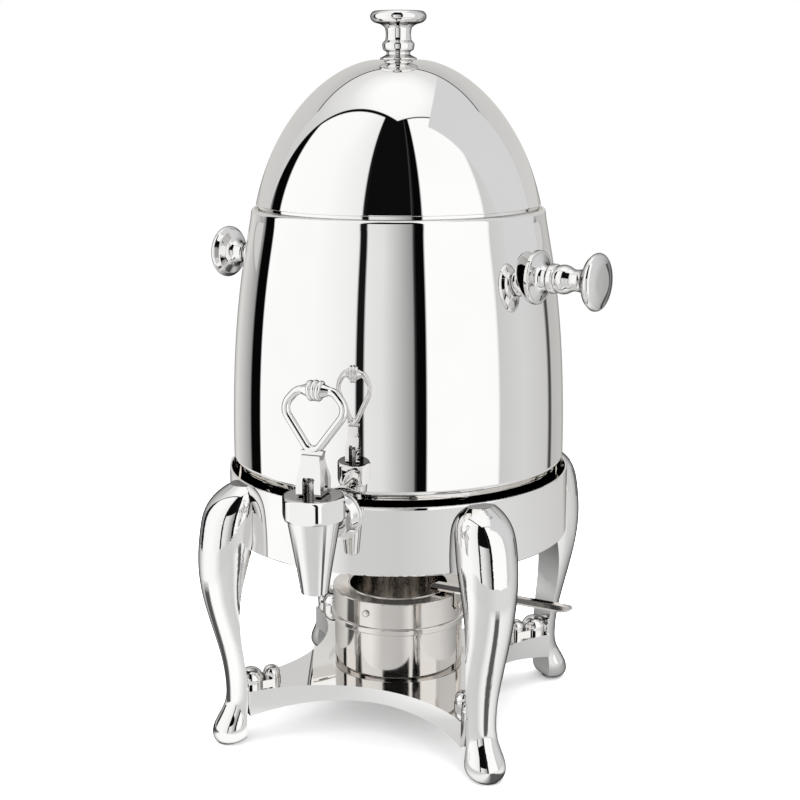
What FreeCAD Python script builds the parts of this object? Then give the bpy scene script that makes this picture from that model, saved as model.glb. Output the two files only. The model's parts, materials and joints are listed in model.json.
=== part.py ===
# Polished coffee urn: a domed vessel with a tap, standing in a ring on four cast legs over a burner.
# Millimetres, +Z up. The vessel's axis is Z, the floor is z = 0 and the tap points towards -Y.
import FreeCAD, Part
import math
import os

V = FreeCAD.Vector
UP = V(0, 0, 1)

# Fits between pieces
RUNNING = 0.05          # radial clearance of a pin or rod that turns or slides
SEAT = 0.1              # gap left between curved faces of pieces that are bolted together
LOOSE = 0.4             # radial clearance of pieces that lift apart

# Vessel
VESSEL_RADIUS = 122.2
VESSEL_HEIGHT = 236.7
VESSEL_WALL = 1.2
NECK_INSET = 4.7        # how far the part inside the ring is drawn in
NECK_HEIGHT = 49.4
SHOULDER_HEIGHT = 9.6   # over which the neck widens to the full radius
FLOOR_ROUND = 8.0
FLOOR_SEAM = 6.0        # width of the wall's inward flange that the floor disc lies on
MOUTH_RADIUS = 103.3
LIP_WIDTH = 3.4          # from the mouth's edge to the outside just below the lip
LIP_HEIGHT = 6.6
LIP_ROUND = 2.6
LEDGE_DEPTH = 2.6       # from the lip's top down to the ledge that carries the lid
LEDGE_WIDTH = 7.0

# Lid
LID_GAP = 0.7           # between the mouth's edge and the lid's edge
LID_SHADOW = 2.4        # height of the dark line between lip and lid
LID_HEIGHT = 101.5      # from the lid's edge to its flat top
LID_UPRIGHT = 3.0
LID_WALL = 1.2
LID_FLAT = 14.0
COLLAR_WALL = 1.0
COLLAR_DROP = 11.0
KNOB_TOP_RADIUS = 20.8
KNOB_HEIGHT = 34.1
KNOB_STUD = 3.0
KNOB_FLANGE = 13.1

# Side knobs
SIDE_KNOB_HEIGHT = 194.0    # axis above the vessel's floor
SIDE_KNOB_TURN = 75.0       # degrees round from the tap; the other knob is opposite
SIDE_KNOB_REACH = 165.0     # from the vessel's axis to the knob's outer face
SIDE_DISC_RADIUS = 20.0
ROSETTE_RADIUS = 18.7
SIDE_STUD = 4.0
SIDE_STUD_LENGTH = 16.0
SIDE_WASHER_RADIUS = 9.0
SIDE_WASHER_THICKNESS = 2.2
SIDE_NUT_FLATS = 13.0
SIDE_NUT_THICKNESS = 6.0

# Stand
RING_GAP = 2.1          # between the vessel's widest part and the ring's inside
RING_WALL = 1.7
RING_HEIGHT = 48.6
RING_FLOOR = 148.7      # the ring's underside above the floor
SILL_WIDTH = 11.5
SILL_THICKNESS = 1.5
LEG_TURN = 45.0         # first leg's angle round from the tap
LEG_FOOT_WIDTH = 28.0
LEG_ANKLE_WIDTH = 22.4
LEG_KNEE_WIDTH = 42.0
LEG_KNEE_DEPTH = 31.4
LEG_SHIN_DEPTH = 15.0
LEG_ANKLE_DEPTH = 12.3
LEG_FOOT_DEPTH = 20.1
LEG_SHIN_SET = 8.0      # how far the shin stands out from the ring
LEG_ANKLE_SET = 2.0
LEG_FOOT_SET = 3.5
FOOT_TUCK = 1.4            # how far the foot draws in at its lower edge
PAD_RADIUS = 8.0
PAD_SHOW = 2.2
PAD_SUNK = 2.4
LEG_SCREW = 2.5
LEG_SCREW_LENGTH = 12.0
LEG_SCREW_HEAD = 2.6
LEG_SCREW_PITCH = 22.0

# Base plate
PLATE_TOP = 41.4
PLATE_SKIRT = 11.0       # in the middle of each hollow edge
PLATE_SKIRT_END = 19.0   # by the legs
PLATE_ARCH_HALF = 80.0   # half the span of the arch between the two
PLATE_SHEET = 1.5
PLATE_WAIST = 66.5      # from the axis to the middle of a hollow edge
PLATE_EDGE_RADIUS = 110.0
RECESS_DEPTH = 3.0
RECESS_GAP = 3.6        # round the burner
LUG_RADIUS = 9.6
LUG_HEIGHT = 12.6
TONGUE_THICKNESS = 3.0
CAP_NUT_RADIUS = 6.3
BASE_SCREW = 2.0
BASE_SCREW_HEAD = 4.0
BASE_SCREW_HEAD_HEIGHT = 2.2

# Burner
BURNER_RADIUS = 49.9
BURNER_HEIGHT = 62.5
BURNER_WALL = 0.8
BURNER_MOUTH = 37.1
CAP_HEIGHT = 24.3
BEAD_HEIGHT = 5.0
BEAD_STAND = 1.3
BURNER_TURN = 80.0      # handle's angle round from the tap
STRIP_WIDTH = 15.0
STRIP_THICKNESS = 1.5
STRIP_RISE = 2.2
STRIP_INNER = 31.0
STRIP_OUTER = 142.0
RIVET_RADIUS = 1.6
RIVET_DROP = 8.9

# Tap
TAP_REACH = 170.0       # from the vessel's axis to the tap's axis
SHANK_HEIGHT = 40.8     # shank's axis above the vessel's floor
SHANK_RADIUS = 7.0
SHANK_BORE = 5.5
TAP_TOP_RADIUS = 17.6
TAP_KINK_RADIUS = 11.4
TAP_OUTLET_RADIUS = 8.9
TAP_RISE = 10.4         # body's top above the shank's axis
TAP_TAPER = 35.4
TAP_SPOUT = 15.4
CHAMBER_RADIUS = 11.0
CHAMBER_DEPTH = 24.0
OUTLET_BORE = 6.0
BONNET_RADIUS = 21.2
BONNET_FLATS = 38.6
BONNET_HEIGHT = 15.5
STEM_RADIUS = 3.5
HANDLE_SLOT = 8.0
HANDLE_WIDTH = 17.0
HANDLE_DEPTH = 18.4
HANDLE_HEIGHT = 27.0
HANDLE_NECK = 12.5      # width of the block where the loop starts
DENT_WIDTH = 8.6
DENT_HEIGHT = 17.0
DENT_DEPTH = 1.2
PIN_RADIUS = 1.5
PIN_HEIGHT = 7.0        # above the bonnet
CAM_REACH = 4.6         # the stem's lift per radian of handle
TAP_LIFT_TURN = 40.0
HEART_WIDTH = 45.5
HEART_HEIGHT = 43.6     # from the block to the top of the loop, without the clasp
HEART_CLASP = 13.6
HEART_BAND = 3.4
HEART_TUBE = 2.8
HEART_LEAN = 8.0        # degrees that the loop leans back
ESCUTCHEON_RADIUS = 17.5
ESCUTCHEON_SHEET = 1.0
ESCUTCHEON_SHARE = 0.318    # escutcheon's depth as a share of the room between ring and tap
SPACER_RADIUS = 8.2
WASHER_RADIUS = 11.0
WASHER_THICKNESS = 1.6
SHANK_NUT_FLATS = 24.0
SHANK_NUT_SHARE = 0.322     # the nut's thickness as a share of the same room
INNER_NUT_THICKNESS = 6.0

# Heights and radii that follow from the sizes above
RING_INNER = VESSEL_RADIUS + RING_GAP
RING_RADIUS = RING_INNER + RING_WALL
RING_TOP = RING_FLOOR + RING_HEIGHT
VESSEL_FLOOR = RING_FLOOR + SILL_THICKNESS
NECK_RADIUS = VESSEL_RADIUS - NECK_INSET
VESSEL_TOP = VESSEL_FLOOR + VESSEL_HEIGHT
LEDGE = VESSEL_TOP - LEDGE_DEPTH
LEDGE_RADIUS = MOUTH_RADIUS - LEDGE_WIDTH
LID_RADIUS = MOUTH_RADIUS - LID_GAP
LID_EDGE = VESSEL_TOP + LID_SHADOW
LID_TOP = LID_EDGE + LID_HEIGHT
RECESS_FLOOR = PLATE_TOP - RECESS_DEPTH
BURNER_TOP = RECESS_FLOOR + BURNER_HEIGHT
LUG_RADIAL = RING_RADIUS - 4.5
CAP_NUT_RADIAL = LUG_RADIAL - LUG_RADIUS - CAP_NUT_RADIUS - LOOSE
LEG_TURNS = [LEG_TURN + 90 * i for i in range(4)]
FLATS_FRONT = 30        # turns a hexagon so that its corners point up and down
SHANK_Z = VESSEL_FLOOR + SHANK_HEIGHT
TAP_ROOM = TAP_REACH - TAP_TOP_RADIUS - RING_RADIUS
ESCUTCHEON_DEPTH = ESCUTCHEON_SHARE * TAP_ROOM
SHANK_NUT_THICKNESS = SHANK_NUT_SHARE * TAP_ROOM
TAP_TOP = SHANK_Z + TAP_RISE
BONNET_TOP = TAP_TOP + BONNET_HEIGHT
PIN_Z = BONNET_TOP + PIN_HEIGHT
CHAMBER_FLOOR = TAP_TOP - CHAMBER_DEPTH


# Shapes that the pieces share

def edges_of(points, place, closed=True):
    """Edges of an outline through points (a, b) or (a, b, corner radius), laid out in space by place."""
    count = len(points)
    flat = [V(p[0], p[1], 0) for p in points]
    round_to = [p[2] if len(p) > 2 else 0 for p in points]
    corners = []
    for i, here in enumerate(flat):
        if not round_to[i] or (not closed and i in (0, count - 1)):
            corners.append((here, None, here))
            continue
        back = (flat[i - 1] - here).normalize()
        on = (flat[(i + 1) % count] - here).normalize()
        half = back.getAngle(on) / 2
        reach = round_to[i] / math.tan(half)
        middle = (back + on).normalize()
        centre = here + middle * (round_to[i] / math.sin(half))
        corners.append((here + back * reach, centre - middle * round_to[i], here + on * reach))
    edges = []
    for i, (start, mid, end) in enumerate(corners):
        if mid is not None:
            edges.append(Part.Arc(place(start), place(mid), place(end)).toShape())
        if i == count - 1 and not closed:
            break
        ahead = corners[(i + 1) % count][0]
        if (ahead - end).Length > 1e-6:
            edges.append(Part.makeLine(place(end), place(ahead)))
    return edges


def on_xz(p):
    return V(p.x, 0, p.y)


def on_xy(p):
    return V(p.x, p.y, 0)


def on_yz(p):
    return V(0, p.x, p.y)


def face_of(edges):
    return Part.Face(Part.Wire(Part.__sortEdges__(edges)))


def turned(points):
    """Solid turned about Z from an outline of (radius, height) or (radius, height, corner radius)."""
    return face_of(edges_of(points, on_xz)).revolve(V(0, 0, 0), UP, 360)


def plate(points, thickness, place=on_xy, way=UP):
    """Flat piece with a rounded outline."""
    return face_of(edges_of(points, place)).extrude(way * thickness)


def round_bar(radius, low, high):
    return Part.makeCylinder(radius, high - low, V(0, 0, low))


def round_tube(outer, inner, low, high):
    return round_bar(outer, low, high).cut(round_bar(inner, low, high))


def hexagon(flats, low, high, turn=0.0):
    corner = flats / math.sqrt(3)
    points = [(corner * math.cos(math.radians(60 * i + turn)),
               corner * math.sin(math.radians(60 * i + turn))) for i in range(6)]
    bar = plate(points, high - low)
    bar.translate(V(0, 0, low))
    return bar


def placed(shape, turn, radial=0.0, height=0.0):
    """Shape built with its outward side to -Y, set out to radial and turned round Z."""
    copy = shape.copy()
    copy.translate(V(0, -radial, height))
    copy.rotate(V(0, 0, 0), UP, turn)
    return copy


def laid_out(shape, turn, radial, height):
    """Shape built along Z, laid down to point outward at the angle turn, its foot at radial."""
    copy = shape.copy()
    copy.rotate(V(0, 0, 0), V(1, 0, 0), 90)
    return placed(copy, turn, radial, height)


def bezier(poles):
    """Smooth curve pulled towards its inner poles, so that a polished surface has no ripple."""
    curve = Part.BezierCurve()
    curve.setPoles([V(r, 0, z) for r, z in poles])
    return curve


def beside(curve, step):
    """Curve beside another in the XZ plane, step to its right hand when walked along."""
    samples = 10
    points = []
    for i in range(samples + 1):
        at = curve.FirstParameter + (curve.LastParameter - curve.FirstParameter) * i / samples
        way = curve.tangent(at)[0]
        points.append(curve.value(at) + V(way.z, 0, -way.x) * step)
    line = Part.BSplineCurve()
    line.interpolate(points)
    return line


# Vessel

def vessel_flank():
    """The vessel's outside above the ring: upright at first, then drawing in towards the mouth."""
    base = VESSEL_FLOOR + NECK_HEIGHT + SHOULDER_HEIGHT
    top = VESSEL_TOP - LIP_HEIGHT
    rise = top - base
    mouth = MOUTH_RADIUS + LIP_WIDTH
    drawn = VESSEL_RADIUS - mouth
    return bezier([(VESSEL_RADIUS, base), (VESSEL_RADIUS, base + 0.613 * rise),
                   (mouth + 0.34 * drawn, base + 0.86 * rise), (mouth, top)])


def flank_radius(height):
    """The vessel's outer radius at a height on its flank."""
    line = Part.makeLine(V(0, 0, height), V(2 * VESSEL_RADIUS, 0, height))
    point = vessel_flank().toShape().distToShape(line)[1][0][0]
    return point.x


def vessel_outline():
    flank = vessel_flank()
    inner = beside(flank, -VESSEL_WALL)
    low, high = flank.StartPoint, flank.EndPoint
    low_in, high_in = inner.StartPoint, inner.EndPoint
    throat = VESSEL_FLOOR + NECK_HEIGHT
    flange = NECK_RADIUS - FLOOR_ROUND - FLOOR_SEAM
    outside = edges_of([(flange, VESSEL_FLOOR), (NECK_RADIUS, VESSEL_FLOOR, FLOOR_ROUND),
                        (NECK_RADIUS, throat, 5), (VESSEL_RADIUS, throat + 6, 5),
                        (low.x, low.z)], on_xz, closed=False)
    lip = edges_of([(high.x, high.z), (MOUTH_RADIUS + 2.6, VESSEL_TOP, LIP_ROUND),
                    (MOUTH_RADIUS, VESSEL_TOP, 1.2), (MOUTH_RADIUS, LEDGE), (LEDGE_RADIUS, LEDGE),
                    (LEDGE_RADIUS, LEDGE - VESSEL_WALL), (high_in.x + 0.15, LEDGE - VESSEL_WALL),
                    (high_in.x, high_in.z)], on_xz, closed=False)
    floor = VESSEL_FLOOR + VESSEL_WALL
    inside = edges_of([(low_in.x, low_in.z), (VESSEL_RADIUS - VESSEL_WALL, throat + 6.4, 4),
                       (NECK_RADIUS - VESSEL_WALL, throat + 0.4, 4),
                       (NECK_RADIUS - VESSEL_WALL, floor, FLOOR_ROUND - VESSEL_WALL), (flange, floor),
                       (flange, VESSEL_FLOOR)], on_xz, closed=False)
    return outside + [flank.toShape()] + lip + [inner.toShape()] + inside


def urn_body():
    body = face_of(vessel_outline()).revolve(V(0, 0, 0), UP, 360)
    body = body.cut(laid_out(round_bar(SHANK_RADIUS + SEAT, -20, 20), 0, NECK_RADIUS, SHANK_Z))
    for turn in (SIDE_KNOB_TURN, SIDE_KNOB_TURN + 180):
        hole = round_bar(SIDE_STUD + SEAT, -20, 20)
        body = body.cut(laid_out(hole, turn, SIDE_WALL, SIDE_Z))
    return body


def urn_floor():
    """Disc that closes the vessel below, lapped on the wall's inward flange."""
    low = VESSEL_FLOOR + VESSEL_WALL
    reach = NECK_RADIUS - FLOOR_ROUND - LOOSE
    return turned([(0, low), (reach, low), (reach, low + VESSEL_WALL, 0.4),
                   (0, low + VESSEL_WALL)])


def vessel_filled(grow):
    """The vessel's outside as a plain solid, grown by a gap, to shape what seats on its curve."""
    flank = beside(vessel_flank(), grow)
    low, high = flank.StartPoint, flank.EndPoint
    rest = [Part.makeLine(V(0, 0, low.z), low), Part.makeLine(high, V(0, 0, high.z)),
            Part.makeLine(V(0, 0, high.z), V(0, 0, low.z))]
    return face_of([flank.toShape()] + rest).revolve(V(0, 0, 0), UP, 360)


SIDE_Z = VESSEL_FLOOR + SIDE_KNOB_HEIGHT
SIDE_WALL = flank_radius(SIDE_Z)


# Side knobs

def side_knob():
    """Turned knob: rosette on the wall, collar, bulge, waist and a lens-shaped end."""
    length = SIDE_KNOB_REACH - SIDE_WALL
    rim = SIDE_DISC_RADIUS
    root = 4.0              # reaches into the wall's curve before it is trimmed
    points = [(0, -SIDE_STUD_LENGTH), (SIDE_STUD, -SIDE_STUD_LENGTH), (SIDE_STUD, -root),
              (ROSETTE_RADIUS, -root),
              (ROSETTE_RADIUS, 2.4, 1.1), (ROSETTE_RADIUS - 2.2, 2.4, 1), (9.4, 4.8, 5), (8.6, 10.2, 1.5),
              (10.3, 11.2, 1.2), (10.3, 15.0, 1.2), (8.9, 16.0, 0.3), (9.3, 16.5, 0.3), (10.9, 21.5, 9),
              (7.2, 28.5, 8), (8.2, length - 12.5, 8), (rim - 3, length - 8.6, 3), (rim, length - 5.2, 2.6),
              (rim - 0.6, length - 2.0, 3), (rim * 0.6, length - 0.2, 30), (0, length)]
    return turned(points)


def side_knobs():
    knob = side_knob()
    skin = vessel_filled(SEAT)
    stud = laid_out(round_bar(SIDE_STUD, -SIDE_STUD_LENGTH, 0), SIDE_KNOB_TURN, SIDE_WALL, SIDE_Z)
    right = laid_out(knob, SIDE_KNOB_TURN, SIDE_WALL, SIDE_Z).cut(skin).fuse(stud).removeSplitter()
    left = right.copy()
    left.rotate(V(0, 0, 0), UP, 180)
    return right, left


def inside_wall(shape):
    """Trims a piece that seats on the vessel's inner wall to the wall's curve."""
    return shape.common(vessel_filled(-VESSEL_WALL - SEAT))


def side_knob_hardware():
    washers = []
    nuts = []
    face = -VESSEL_WALL - SIDE_WASHER_THICKNESS
    for turn in (SIDE_KNOB_TURN, SIDE_KNOB_TURN + 180):
        washer = round_tube(SIDE_WASHER_RADIUS, SIDE_STUD + SEAT, face, SIDE_WASHER_THICKNESS)
        nut = hexagon(SIDE_NUT_FLATS, face - SIDE_NUT_THICKNESS, face)
        nut = nut.cut(round_bar(SIDE_STUD + RUNNING, face - 2 * SIDE_NUT_THICKNESS, 0))
        washers.append(inside_wall(laid_out(washer, turn, SIDE_WALL, SIDE_Z)))
        nuts.append(laid_out(nut, turn, SIDE_WALL, SIDE_Z))
    return Part.makeCompound(washers), Part.makeCompound(nuts)


# Lid

def lid_crown():
    """The dome's outside from its edge up to the flat that carries the knob."""
    base = LID_EDGE + LID_UPRIGHT
    rise = LID_TOP - base
    span = LID_RADIUS - LID_FLAT
    return bezier([(LID_RADIUS, base), (LID_RADIUS, base + 0.13 * rise),
                   (LID_RADIUS - 0.183 * span, base + 0.758 * rise),
                   (LID_RADIUS - 0.726 * span, LID_TOP), (LID_FLAT, LID_TOP)])


def lid_dome():
    crown = lid_crown()
    inner = beside(crown, -LID_WALL)
    low, high = crown.StartPoint, crown.EndPoint
    low_in, high_in = inner.StartPoint, inner.EndPoint
    edge = edges_of([(low_in.x, low_in.z), (LID_RADIUS - LID_WALL, LID_EDGE, 0.5),
                     (LID_RADIUS, LID_EDGE, 0.5), (low.x, low.z)], on_xz, closed=False)
    hole = KNOB_STUD + SEAT
    top = edges_of([(high.x, high.z), (hole, high.z), (hole, high_in.z), (high_in.x, high_in.z)],
                   on_xz, closed=False)
    return face_of([crown.toShape(), inner.toShape()] + edge + top).revolve(V(0, 0, 0), UP, 360)


def lid_inner_collar():
    """Stepped ring inside the lid: it rests on the ledge and drops into the mouth."""
    outer = LID_RADIUS - LID_WALL - SEAT
    guide = LEDGE_RADIUS - LOOSE
    points = [(guide, LEDGE - COLLAR_DROP, 0.4), (guide, LEDGE), (outer, LEDGE, 0.4),
              (outer, LID_EDGE + LID_UPRIGHT), (outer - COLLAR_WALL, LID_EDGE + LID_UPRIGHT),
              (outer - COLLAR_WALL, LEDGE + COLLAR_WALL), (guide - COLLAR_WALL, LEDGE + COLLAR_WALL),
              (guide - COLLAR_WALL, LEDGE - COLLAR_DROP, 0.4)]
    return turned(points)


def lid_knob():
    base = LID_TOP
    top = LID_TOP + KNOB_HEIGHT
    rim = KNOB_TOP_RADIUS
    points = [(0, base - 11), (KNOB_STUD, base - 11), (KNOB_STUD, base), (KNOB_FLANGE, base, 0.4),
              (KNOB_FLANGE, base + 1.0, 0.4), (6.4, base + 4.4, 1.5), (11.0, base + 6.6, 2.2),
              (11.6, base + 11.0, 2.2), (9.4, base + 13.2, 1.2), (8.0, base + 18.5, 16),
              (10.2, top - 10.6, 7), (rim - 3.4, top - 8.6, 4), (rim + 0.6, top - 4.6, 3.6),
              (rim - 3.2, top - 0.7, 3.4), (0, top)]
    return turned(points)


def lid_knob_washer():
    return round_tube(8.0, KNOB_STUD + SEAT, LID_TOP - LID_WALL - 1.2, LID_TOP - LID_WALL)


def lid_knob_nut():
    low = LID_TOP - LID_WALL - 6.4
    return hexagon(10.0, low, low + 5.2).cut(round_bar(KNOB_STUD + RUNNING, low - 1, low + 6))


# Stand

def stand_ring():
    low, high = RING_FLOOR, RING_TOP
    sill = RING_INNER - SILL_WIDTH
    ring = turned([(sill, low, 0.5), (RING_RADIUS, low, 1.2), (RING_RADIUS, high, 0.5),
                   (RING_INNER, high, 0.5), (RING_INNER, low + SILL_THICKNESS),
                   (sill, low + SILL_THICKNESS, 0.5)])
    half = SPACER_RADIUS + 0.9
    deep = 2 * SILL_WIDTH
    notch = laid_out(round_bar(half, -deep, deep), 0, RING_RADIUS, SHANK_Z)
    notch = notch.fuse(Part.makeBox(2 * half, 2 * deep, RING_HEIGHT,
                                    V(-half, -RING_RADIUS - deep, SHANK_Z)))
    ring = ring.cut(notch)
    for turn in LEG_TURNS:
        for height in leg_screw_heights():
            ring = ring.cut(laid_out(round_bar(LEG_SCREW + SEAT, -12, 12), turn, RING_RADIUS, height))
    return ring


def leg_screw_heights():
    middle = RING_FLOOR + RING_HEIGHT * 0.46
    return (middle - LEG_SCREW_PITCH / 2, middle + LEG_SCREW_PITCH / 2)


def leg_section(inner, depth, width, height):
    """Outline across a leg: flat towards the axis and round outside. Radial is along +X here."""
    half = width / 2
    centre = inner + depth - half
    back = math.sqrt(half ** 2 - (inner - centre) ** 2)
    nose = V(inner + depth, 0, height)
    arcs = []
    for side in (-1, 1):
        start = V(inner, side * back, height)
        turn = (math.atan2(side * back, inner - centre)) / 2
        mid = V(centre + half * math.cos(turn), half * math.sin(turn), height)
        ends = (start, nose) if side < 0 else (nose, start)
        arcs.append(Part.Arc(ends[0], mid, ends[1]).toShape())
    arcs.append(Part.makeLine(V(inner, back, height), V(inner, -back, height)))
    return Part.Wire(arcs)


def leg_blank():
    """Cast leg from the foot up to the knee that hugs the ring, with radial along +X."""
    hug = RING_RADIUS - 2.2
    top = RING_TOP - 2.4
    knee = RING_FLOOR + 6
    sections = [(RING_RADIUS + LEG_FOOT_SET + FOOT_TUCK, LEG_FOOT_DEPTH - FOOT_TUCK,
                 LEG_FOOT_WIDTH - 4 * FOOT_TUCK, PAD_SHOW),
                (RING_RADIUS + LEG_FOOT_SET, LEG_FOOT_DEPTH * 1.08, LEG_FOOT_WIDTH * 1.03, PAD_SHOW + 5.5),
                (RING_RADIUS + LEG_FOOT_SET, LEG_FOOT_DEPTH, LEG_FOOT_WIDTH, PAD_SHOW + 11.5),
                (RING_RADIUS + LEG_ANKLE_SET, LEG_ANKLE_DEPTH + 0.8, LEG_ANKLE_WIDTH, PLATE_TOP - 11),
                (RING_RADIUS + LEG_ANKLE_SET, LEG_ANKLE_DEPTH, LEG_ANKLE_WIDTH, PLATE_TOP + 3),
                (RING_RADIUS + LEG_SHIN_SET, LEG_SHIN_DEPTH, 2 * LEG_SHIN_DEPTH, RING_FLOOR * 0.585),
                (RING_RADIUS + 4.5, LEG_KNEE_DEPTH - 4, LEG_KNEE_WIDTH - 5.2, RING_FLOOR - 21),
                (hug, LEG_KNEE_DEPTH + 2, LEG_KNEE_WIDTH, knee),
                (hug, LEG_KNEE_DEPTH - 0.2, LEG_KNEE_WIDTH, knee + 14),
                (hug, LEG_KNEE_DEPTH - 6.4, LEG_KNEE_WIDTH - 3, knee + 28),
                (hug, LEG_KNEE_DEPTH - 16, LEG_KNEE_WIDTH - 12, top - 3.6),
                (hug, LEG_KNEE_DEPTH - 22, LEG_KNEE_WIDTH - 20, top)]
    return Part.makeLoft([leg_section(*s) for s in sections], True, False)


def leg_lug():
    """Half dome on the plate at the leg's foot, with a tongue that the cap nut holds down."""
    base = PLATE_TOP
    dome = turned([(0, base), (LUG_RADIUS, base), (LUG_RADIUS, base + LUG_HEIGHT, LUG_RADIUS * 0.93),
                   (0, base + LUG_HEIGHT)])
    neck = Part.makeBox(RING_RADIUS + LEG_ANKLE_SET + 3 - LUG_RADIAL, 2 * LUG_RADIUS * 0.8,
                        LUG_HEIGHT * 0.6,
                        V(0, -LUG_RADIUS * 0.8, base))
    dome = dome.fuse(neck)
    dome.translate(V(LUG_RADIAL, 0, 0))
    width = CAP_NUT_RADIUS + 0.6
    tongue = Part.makeBox(LUG_RADIAL - CAP_NUT_RADIAL, 2 * width, TONGUE_THICKNESS,
                          V(CAP_NUT_RADIAL, -width, base))
    end = Part.makeCylinder(width, TONGUE_THICKNESS, V(CAP_NUT_RADIAL, 0, base))
    return dome.fuse([tongue, end])


def leg():
    shape = leg_blank().fuse(leg_lug())
    shape = shape.cut(round_bar(RING_RADIUS + SEAT, RING_FLOOR - 40, RING_TOP + 10))
    arms = plate_face(-SEAT).extrude(UP * PLATE_SKIRT_END)
    arms.translate(V(0, 0, PLATE_TOP - PLATE_SKIRT_END))
    arms.rotate(V(0, 0, 0), UP, 90 - LEG_TURN)
    shape = shape.cut(arms)
    shape = shape.cut(Part.makeCylinder(BASE_SCREW + SEAT, 20, V(CAP_NUT_RADIAL, 0, PLATE_TOP - 5)))
    shape = shape.cut(Part.makeCylinder(PAD_RADIUS + RUNNING, PAD_SUNK, V(foot_radial(), 0, PAD_SHOW)))
    for height in leg_screw_heights():
        depth = RING_RADIUS + LEG_SCREW_LENGTH + 1
        hole = Part.makeCylinder(LEG_SCREW + RUNNING, depth, V(0, 0, height), V(1, 0, 0))
        shape = shape.cut(hole)
    return shape.removeSplitter()


def foot_radial():
    return RING_RADIUS + LEG_FOOT_SET + LEG_FOOT_DEPTH / 2 + 0.6


def around(shape):
    """Copies of a shape built along +X, one at each leg."""
    copies = []
    for turn in LEG_TURNS:
        copy = shape.copy()
        copy.rotate(V(0, 0, 0), UP, turn - 90)
        copies.append(copy)
    return copies


def foot_pads():
    pad = Part.makeCylinder(PAD_RADIUS, PAD_SHOW + PAD_SUNK - RUNNING, V(foot_radial(), 0, 0))
    lowest = [e for e in pad.Edges if e.BoundBox.ZMax < 0.01 and e.Length > PAD_RADIUS]
    return Part.makeCompound(around(pad.makeFillet(0.6, lowest)))


def leg_screws():
    """Pan-head screws from inside the ring into the legs."""
    screws = []
    seat = math.sqrt(RING_INNER ** 2 - 4.6 ** 2)
    profile = [(0, 0), (4.6, 0), (4.6, LEG_SCREW_HEAD, 1.6), (0, LEG_SCREW_HEAD)]
    for height in leg_screw_heights():
        screw = turned(profile)
        slot = Part.makeBox(1.0, 12, 1.2, V(-0.5, -6, LEG_SCREW_HEAD - 1.0))
        screw = screw.cut(slot)
        screw = screw.fuse(round_bar(LEG_SCREW, -LEG_SCREW_LENGTH - RING_WALL, 0))
        screw.rotate(V(0, 0, 0), V(0, 1, 0), -90)
        screw.translate(V(seat, 0, height))
        screws += around(screw)
    return Part.makeCompound(screws)


def plate_face(inset):
    """Four arms with hollow edges between them; inset draws the whole outline in."""
    centre = PLATE_WAIST + PLATE_EDGE_RADIUS
    hollow = PLATE_EDGE_RADIUS + inset
    end = math.sqrt(2) * (RING_RADIUS + LEG_ANKLE_SET - SEAT - inset)
    spare = end - centre
    across = (spare + math.sqrt(2 * hollow ** 2 - spare ** 2)) / 2
    edges = []
    for i in range(4):
        turn = FreeCAD.Rotation(UP, 90 * i)
        start = turn.multVec(V(-across, -(end - across), 0))
        mid = turn.multVec(V(0, -(centre - hollow), 0))
        stop = turn.multVec(V(across, -(end - across), 0))
        ahead = turn.multVec(V(end - across, -across, 0))
        edges += [Part.Arc(start, mid, stop).toShape(), Part.makeLine(stop, ahead)]
    return face_of(edges)


def plate_arches():
    """Two crossed bars under the plate that arch its skirt between the legs."""
    rise = PLATE_SKIRT_END - PLATE_SKIRT
    radius = (PLATE_ARCH_HALF ** 2 + rise ** 2) / (2 * rise)
    reach = 2 * RING_RADIUS
    height = PLATE_TOP - PLATE_SKIRT - radius
    along = Part.makeCylinder(radius, 2 * reach, V(-reach, 0, height), V(1, 0, 0))
    across = Part.makeCylinder(radius, 2 * reach, V(0, -reach, height), V(0, 1, 0))
    return [along, across]


def base_plate():
    low = PLATE_TOP - PLATE_SKIRT_END
    outside = plate_face(0).extrude(UP * PLATE_SKIRT_END)
    outside.translate(V(0, 0, low))
    hollow = plate_face(PLATE_SHEET).extrude(UP * (PLATE_SKIRT_END - PLATE_SHEET))
    hollow.translate(V(0, 0, low))
    recess = BURNER_RADIUS + RECESS_GAP
    dish = round_bar(recess, RECESS_FLOOR, PLATE_TOP + 1)
    under = round_bar(recess + PLATE_SHEET, RECESS_FLOOR - PLATE_SHEET, PLATE_TOP - 0.1)
    shape = outside.cut(hollow)
    for arch in plate_arches():
        shape = shape.cut(arch)
    shape = shape.fuse(under).cut(dish)
    for turn in LEG_TURNS:
        hole = round_bar(BASE_SCREW + SEAT, low, PLATE_TOP + 1)
        shape = shape.cut(placed(hole, turn, CAP_NUT_RADIAL))
    return shape.removeSplitter()


def base_screws():
    low = PLATE_TOP - PLATE_SHEET
    shaft = round_bar(BASE_SCREW, low, PLATE_TOP + TONGUE_THICKNESS + 4.2)
    under = low - BASE_SCREW_HEAD_HEIGHT
    head = turned([(0, under), (BASE_SCREW_HEAD, under, 1.2), (BASE_SCREW_HEAD, low), (0, low)])
    screw = shaft.fuse(head)
    screw.translate(V(CAP_NUT_RADIAL, 0, 0))
    return Part.makeCompound(around(screw))


def base_cap_nuts():
    low = PLATE_TOP + TONGUE_THICKNESS
    high = low + CAP_NUT_RADIUS + 2.4
    nut = turned([(0, low), (CAP_NUT_RADIUS, low), (CAP_NUT_RADIUS, high, CAP_NUT_RADIUS * 0.96),
                  (0, high)])
    nut = nut.cut(round_bar(BASE_SCREW + RUNNING, low, low + 4.6))
    nut.translate(V(CAP_NUT_RADIAL, 0, 0))
    return Part.makeCompound(around(nut))


# Burner

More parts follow.
